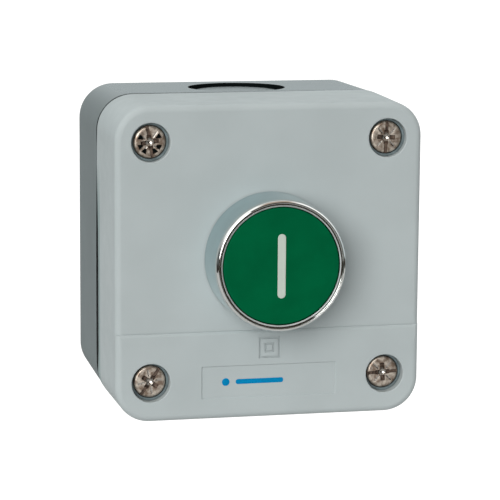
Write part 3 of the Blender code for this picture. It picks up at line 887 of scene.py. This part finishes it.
def screw_profile(top, tip, head_r):
    """Pan head with a rounded edge, threaded shank and blunt tip."""
    neck = top + HEAD_HEIGHT
    round_r = head_r - HEAD_EDGE_R
    profile = [(0, top), (head_r - 1.0, top), (round_r, top + 0.04)]
    profile += round_edge(round_r, top + 0.05, HEAD_EDGE_R)
    profile += [(head_r, neck - 0.1), (head_r - 0.1, neck), (SHANK_R, neck)]
    y = neck + 3.0
    while y < tip - 1.2:
        for r, part in ((SHANK_R, 0.0), (THREAD_R, 0.35), (THREAD_R, 0.5), (SHANK_R, 0.85)):
            profile.append((r, y + THREAD_PITCH * part))
        y += THREAD_PITCH
    return profile + [(1.5, tip - 0.4), (1.1, tip), (0, tip)]


def make_cover_screw(index, turn):
    name = f"cover_screw_{index}"
    low, high = mm_box(name)
    p = (low + high) / 2
    top = low.y
    pitted = index == PITTED_SCREW
    screw = turned(name + "_detailed", screw_profile(top, high.y, (high.x - low.x) / 2), p.x, p.z)
    tools = recess_tools(p.x, p.z, top) + (pit_tools(p.x, p.z, top) if pitted else [])
    for tool in tools:
        turn_about(tool, p.x, p.z, turn)
    carve_all(screw, tools)
    bowl = [(r, top + 0.9 - 0.45 * (r / DISH_R) ** 2) for r in (0, DISH_R / 3, DISH_R * 2 / 3, DISH_R)]
    dish = turned("dish", bowl + [(DISH_R, top + 1.2), (0, top + 1.2)], p.x, p.z, 32)
    carve(screw, dish, "UNION")
    shade_and_dirt_recesses(screw, p.x, p.z, top, pitted)
    settle(screw, MATS["nickel_steel"], "case", name, bevel=SCREW_BEVEL)


def make_screw_seal(index):
    """A rubber cup under the screw's head; its thin wall lines the well, dark as painted shade."""
    name = f"screw_seal_{index}"
    low, high = mm_box(name)
    p = (low + high) / 2
    lip_y = mm_box(f"cover_screw_{index}")[0].y + 0.25
    floor_y = WELL_FLOOR_Y - 0.02
    profile = [(SEAL_BORE_R, low.y), (SEAL_WALL_R - 0.04, low.y), (SEAL_WALL_R, lip_y + 0.1), (3.8, lip_y),
               (SEAL_OUTER_R - 0.06, lip_y), (SEAL_OUTER_R, lip_y + 0.15), (SEAL_OUTER_R, floor_y),
               (SEAL_BORE_R, floor_y)]
    cup = turned(name + "_cup", profile, p.x, p.z)
    settle(cup, MATS["rubber_and_shade_lining"], "case", name)


def make_insert(index):
    """A brass insert with two knurled bands and a waist between them."""
    name = f"brass_insert_{index}"
    low, high = mm_box(name)
    p = (low + high) / 2
    outer = (high.x - low.x) / 2
    waist = outer - INSERT_WAIST
    span = high.y - low.y
    levels = [(INSERT_BORE_R, high.y), (INSERT_BORE_R, low.y), (outer - 0.2, low.y), (outer, low.y + 0.2),
              (outer, low.y + span * 0.36), (waist, low.y + span * 0.4), (waist, low.y + span * 0.6),
              (outer, low.y + span * 0.64), (outer, high.y - 0.2), (outer - 0.2, high.y)]
    rings = []
    for r, y in levels:
        ring = circle(p.x, y, p.z, r, INSERT_KNURLS * 2)
        if r > outer - 0.1:
            centre = Vector((p.x, y, p.z))
            ring = [centre + (q - centre) * (1.0 if i % 2 else 0.94) for i, q in enumerate(ring)]
        rings.append(ring)
    insert = loft(name + "_knurled", rings, closed=True)
    settle(insert, MATS["brass"], "case", name)


# Push-button head

def bezel_profile(front, foot_y):
    """The section: foot, crest, groove, ring, cap pocket, bore with its ledge, and threaded barrel."""
    profile = [(BARREL_R + 0.6, foot_y), (FOOT_R - 0.15, foot_y), (FOOT_R, foot_y - 0.15)]
    profile += [(CREST_R + CREST_WIDTH * cos(radians(a)), front + CREST_HEIGHT * (1 - sin(radians(a))))
                for a in (0, *range(12, 91, 13))]
    profile += [(CREST_R - 0.04, front + 0.02), (CREST_R - 0.08, front + 0.1), (CREST_R - 0.16, front + 0.5)]
    profile += [(RING_R + 0.06, front + 0.5), (RING_R, front + 0.3), (RING_R - 0.05, front + 0.23)]
    profile += [(CAP_POCKET_R + 0.04, front + 0.42), (CAP_POCKET_R, front + 0.5), (CAP_POCKET_R, front + 1.2),
                (CAP_POCKET_R + 0.2, front + 1.4), (CAP_POCKET_R + 0.2, CAP_POCKET_Y)]
    profile += [(BORE_R, CAP_POCKET_Y), (BORE_R, LEDGE_Y[0]), (LEDGE_R, LEDGE_Y[0]), (LEDGE_R, LEDGE_Y[1]),
                (BORE_R, LEDGE_Y[1]), (BORE_R, BARREL_END_Y), (BARREL_R - 0.3, BARREL_END_Y)]
    y = BARREL_END_Y - 0.3
    while y > BARREL_THREAD_Y:
        profile += [(BARREL_ROOT_R, y), (BARREL_R, y - 0.35), (BARREL_R, y - 0.55), (BARREL_ROOT_R, y - 0.9)]
        y -= 1.0
    return profile + [(BARREL_R, y - 0.4), (BARREL_R, foot_y)]


def make_bezel():
    """Chrome outside, polished on the crest, satin on the ring round the cap."""
    front = BEZEL_LOW.y
    bezel = turned("head_bezel", bezel_profile(front, FIELD_Y - 0.3), steps=128)
    for mat in ("chrome", "polished_chrome", "satin_chrome"):
        bezel.data.materials.append(MATS[mat])
    for face in bezel.data.polygons:
        centre = face.center / MM
        reach = (centre.x ** 2 + (centre.z - HEAD_Z) ** 2) ** 0.5
        ring = reach < RING_R + 0.01 and centre.y < front + 0.45
        face.material_index = 2 if ring else int(centre.y < front + 1.1)
    settle(bezel, MATS["chrome"], "case", "bezel")


def stadium(name, width, length, levels):
    """A round-ended bar; levels are (shrink, y)."""
    rings = []
    for shrink, y in levels:
        half_w, half_l = width / 2 - shrink, length / 2 - shrink
        z_span = (HEAD_Z - half_l, HEAD_Z + half_l)
        rings.append(outline((-half_w, half_w), z_span, (half_w - 0.001,) * 4, y, 12))
    return loft(name, rings)


def make_cap():
    front, back = CAP_LOW.y, CAP_HIGH.y
    profile = [(0, front)] + round_edge(CAP_R - CAP_EDGE_R, front, CAP_EDGE_R)
    profile += [(CAP_R, back - 0.2), (CAP_R - 0.2, back), (0, back)]
    cap = turned("button_cap", profile, steps=128)
    width, length = BAR_HIGH.x - BAR_LOW.x, BAR_HIGH.z - BAR_LOW.z
    depth_y = BAR_HIGH.y
    carve(cap, stadium("bar_recess", width + 0.02, length + 0.02, ((0, front - 1), (0, depth_y))))
    settle(cap, MATS["green_plastic"], "button", "push_cap")
    levels = ((0.08, front - 0.03), (0.0, front + 0.03), (0.0, depth_y - 0.02))
    bar = stadium("button_bar", width, length, levels)
    settle(bar, MATS["white_plastic"], "button", "legend_bar")


# Springs

def make_coil(node, body, wire_r, turns, joint, travel):
    """A smooth compression spring in place of the plain one."""
    low, high = mm_box(node)
    radius = (high.x - low.x) / 2 - wire_r
    per_turn, sides = 32, 10
    count = turns * per_turn
    y0, y1 = low.y + wire_r, high.y - wire_r
    lead = wire_r * 2.1
    path = []
    for i in range(count + 1):
        turn = turns * i / count
        rise = lead + (y1 - y0 - 2 * lead) * (turn - 1) / (turns - 2)
        if turn < 1:
            rise = lead * turn
        if turn > turns - 1:
            rise = (y1 - y0) - lead * (turns - turn)
        a = tau * turn
        path.append(Vector((radius * cos(a), y0 + rise, HEAD_Z + radius * sin(a))))
    rings = []
    for i, centre in enumerate(path):
        tangent = (path[min(i + 1, count)] - path[max(i - 1, 0)]).normalized()
        out = Vector((centre.x, 0, centre.z - HEAD_Z)).normalized()
        side = tangent.cross(out).normalized()
        across = side.cross(tangent)
        rings.append([centre + wire_r * (across * cos(tau * k / sides) + side * sin(tau * k / sides))
                      for k in range(sides)])
    coil = loft(node + "_wire", rings)
    settle(coil, MATS["spring_steel"], body, node)
    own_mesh(coil)


# Printed mark in the label recess

def make_print():
    base_y = FRONT_Y + LABEL_DEPTH
    top_y = base_y - PRINT_HEIGHT
    z = sum(LABEL_Z) / 2
    dot_profile = [(0, top_y), (PRINT_DOT_R - 0.05, top_y), (PRINT_DOT_R, base_y), (0, base_y)]
    dot = turned("print_dot", dot_profile, PRINT_DOT_X, z, 48)
    z_span = (z - PRINT_BAR_HALF, z + PRINT_BAR_HALF)
    bar = loft("print_bar", [outline(PRINT_BAR_X, z_span, (0.5,) * 4, y, 6) for y in (top_y, base_y)])
    for piece in (dot, bar):
        settle(piece, MATS["mark_blue"], "case")


def dress_inner_parts():
    """Gives every CAD node that still shows its procedural material."""
    slots = {row["node"]: row["material_slot"] for row in frame["record"]["subparts"]}
    for name, node in frame["nodes"].items():
        if not node.hide_render:
            node.data.materials.clear()
            node.data.materials.append(MATS[slots[name]])


def make_object():
    make_base()
    make_gasket()
    make_cover()
    for index, turn in enumerate(SLOT_TURNS, 1):
        make_cover_screw(index, turn)
        make_screw_seal(index)
        make_insert(index)
    make_bezel()
    make_cap()
    for coil in COILS:
        make_coil(*coil)
    make_print()
    dress_inner_parts()


# Stage, light and camera

def floor_look():
    """Pale and matt, glowing only where the camera sees it, and open to views from below."""
    m = Maker("floor_look", (0.93, 0.93, 0.93), 0.9)
    m.set_colour(m.blend(m.noise(60.0, 2.0), (0.54, 0.54, 0.54), (0.56, 0.56, 0.56)))
    m.socket("Specular IOR Level", 0.0)
    m.socket("Emission Color", (1.0, 1.0, 1.0, 1.0))
    nodes = m.tree.nodes
    seen = nodes.new("ShaderNodeLightPath").outputs["Is Camera Ray"]
    m.link(m.math("MULTIPLY", seen, FLOOR_GLOW), m.shader.inputs["Emission Strength"])
    sides = nodes.new("ShaderNodeMixShader")
    m.link(nodes.new("ShaderNodeNewGeometry").outputs["Backfacing"], sides.inputs[0])
    m.link(m.shader.outputs[0], sides.inputs[1])
    m.link(nodes.new("ShaderNodeBsdfTransparent").outputs[0], sides.inputs[2])
    m.link(sides.outputs[0], nodes["Material Output"].inputs["Surface"])
    return m.mat


def make_floor():
    """A table top that throws light back, and the wide floor around it, which is only seen."""
    look = floor_look()
    for name, span, drop in (("table", TABLE, 0.0), ("floor", FLOOR, FLOOR_GAP)):
        z = -(HALF_H + FLOOR_DROP + drop) * MM
        left, right, near, far = span
        mesh = bpy.data.meshes.new(name)
        corners = [(left, near, z), (right, near, z), (right, far, z), (left, far, z)]
        mesh.from_pydata(corners, [], [(0, 1, 2, 3)])
        mesh.materials.append(look)
        floor = new_object(name, mesh)
        if name == "floor":
            floor.visible_diffuse = floor.visible_glossy = floor.visible_shadow = False


def direction(azimuth, elevation):
    """From the object towards a place round it; azimuth 0 is in front."""
    a, e = radians(azimuth), radians(elevation)
    return Vector((sin(a) * cos(e), -cos(a) * cos(e), sin(e)))


def make_key_light():
    """A wide, soft sun from the front left."""
    data = bpy.data.lights.new("key", "SUN")
    data.angle = radians(KEY_WIDTH)
    data.energy = KEY_STRENGTH
    data.color = KEY_COLOUR
    light = new_object("key", data)
    light.rotation_mode = "QUATERNION"
    light.rotation_quaternion = direction(*KEY_FROM).to_track_quat("Z", "Y")


def make_world():
    """A pale tent lit from above, its front side open to a dim warm room; white where it is seen directly."""
    world = bpy.data.worlds.new("room")
    bpy.context.scene.world = world
    world.use_nodes = True
    tree = world.node_tree
    parts = tree.nodes.new("ShaderNodeSeparateXYZ")
    tree.links.new(tree.nodes.new("ShaderNodeTexCoord").outputs["Generated"], parts.inputs[0])

    def ramp(axis, low, high, stops):
        node = tree.nodes.new("ShaderNodeValToRGB")
        node.color_ramp.interpolation = "EASE"
        while len(node.color_ramp.elements) < len(stops):
            node.color_ramp.elements.new(0.5)
        for element, (position, colour) in zip(node.color_ramp.elements, stops):
            element.position = position
            element.color = (*colour, 1.0)
        tree.links.new(map_range(tree, parts.outputs[axis], 0.0, 1.0, (low, high)), node.inputs["Fac"])
        return node.outputs["Color"]

    def rise(axis, low, high):
        return ramp(axis, low, high, [(0.0, (0, 0, 0)), (1.0, (1, 1, 1))])

    def mixed(factor, first, second):
        return mix_colours(tree, factor, first, second)

    sides = ramp("X", -1.0, 1.0, ROOM_SIDES)
    ceiling = mixed(rise("Y", 0.15, 0.55), ramp("X", -1.0, 1.0, CEILING_GAP), ROOM_CEILING)
    tent = mixed(rise("Z", 0.06, 0.6), sides, ceiling)
    above_table = mixed(rise("Z", -0.13, -0.07), TABLE_EDGE, tent)
    room = mixed(rise("Y", -0.72, -0.42), ROOM_DARK, above_table)
    background = tree.nodes["Background"]
    tree.links.new(room, background.inputs["Color"])
    background.inputs["Strength"].default_value = WORLD_STRENGTH
    white = tree.nodes.new("ShaderNodeBackground")
    white.inputs["Color"].default_value = (1.0, 1.0, 1.0, 1.0)
    white.inputs["Strength"].default_value = 1.0
    either = tree.nodes.new("ShaderNodeMixShader")
    tree.links.new(tree.nodes.new("ShaderNodeLightPath").outputs["Is Camera Ray"], either.inputs[0])
    tree.links.new(background.outputs[0], either.inputs[1])
    tree.links.new(white.outputs[0], either.inputs[2])
    tree.links.new(either.outputs[0], tree.nodes["World Output"].inputs["Surface"])


def make_camera():
    """A long lens, a little left of and above the object."""
    back = direction(CAMERA_AZIMUTH, CAMERA_ELEVATION)
    right = (-back).cross(Vector((0, 0, 1))).normalized()
    up = right.cross(-back)
    r = radians(CAMERA_ROLL)
    right_rolled = right * cos(r) + up * sin(r)
    up_rolled = up * cos(r) - right * sin(r)
    data = bpy.data.cameras.new("camera")
    data.lens = CAMERA_LENS
    data.clip_start, data.clip_end = 0.01, 20.0
    camera = new_object("camera", data)
    turn = Matrix((right_rolled, up_rolled, back)).transposed().to_4x4()
    camera.matrix_world = Matrix.Translation((CAMERA_TARGET + back * CAMERA_DISTANCE) * MM) @ turn
    bpy.context.scene.camera = camera


def make_stage():
    make_floor()
    make_world()
    make_key_light()
    make_camera()
    bpy.context.scene.view_settings.view_transform = "Standard"


make_object()
make_stage()
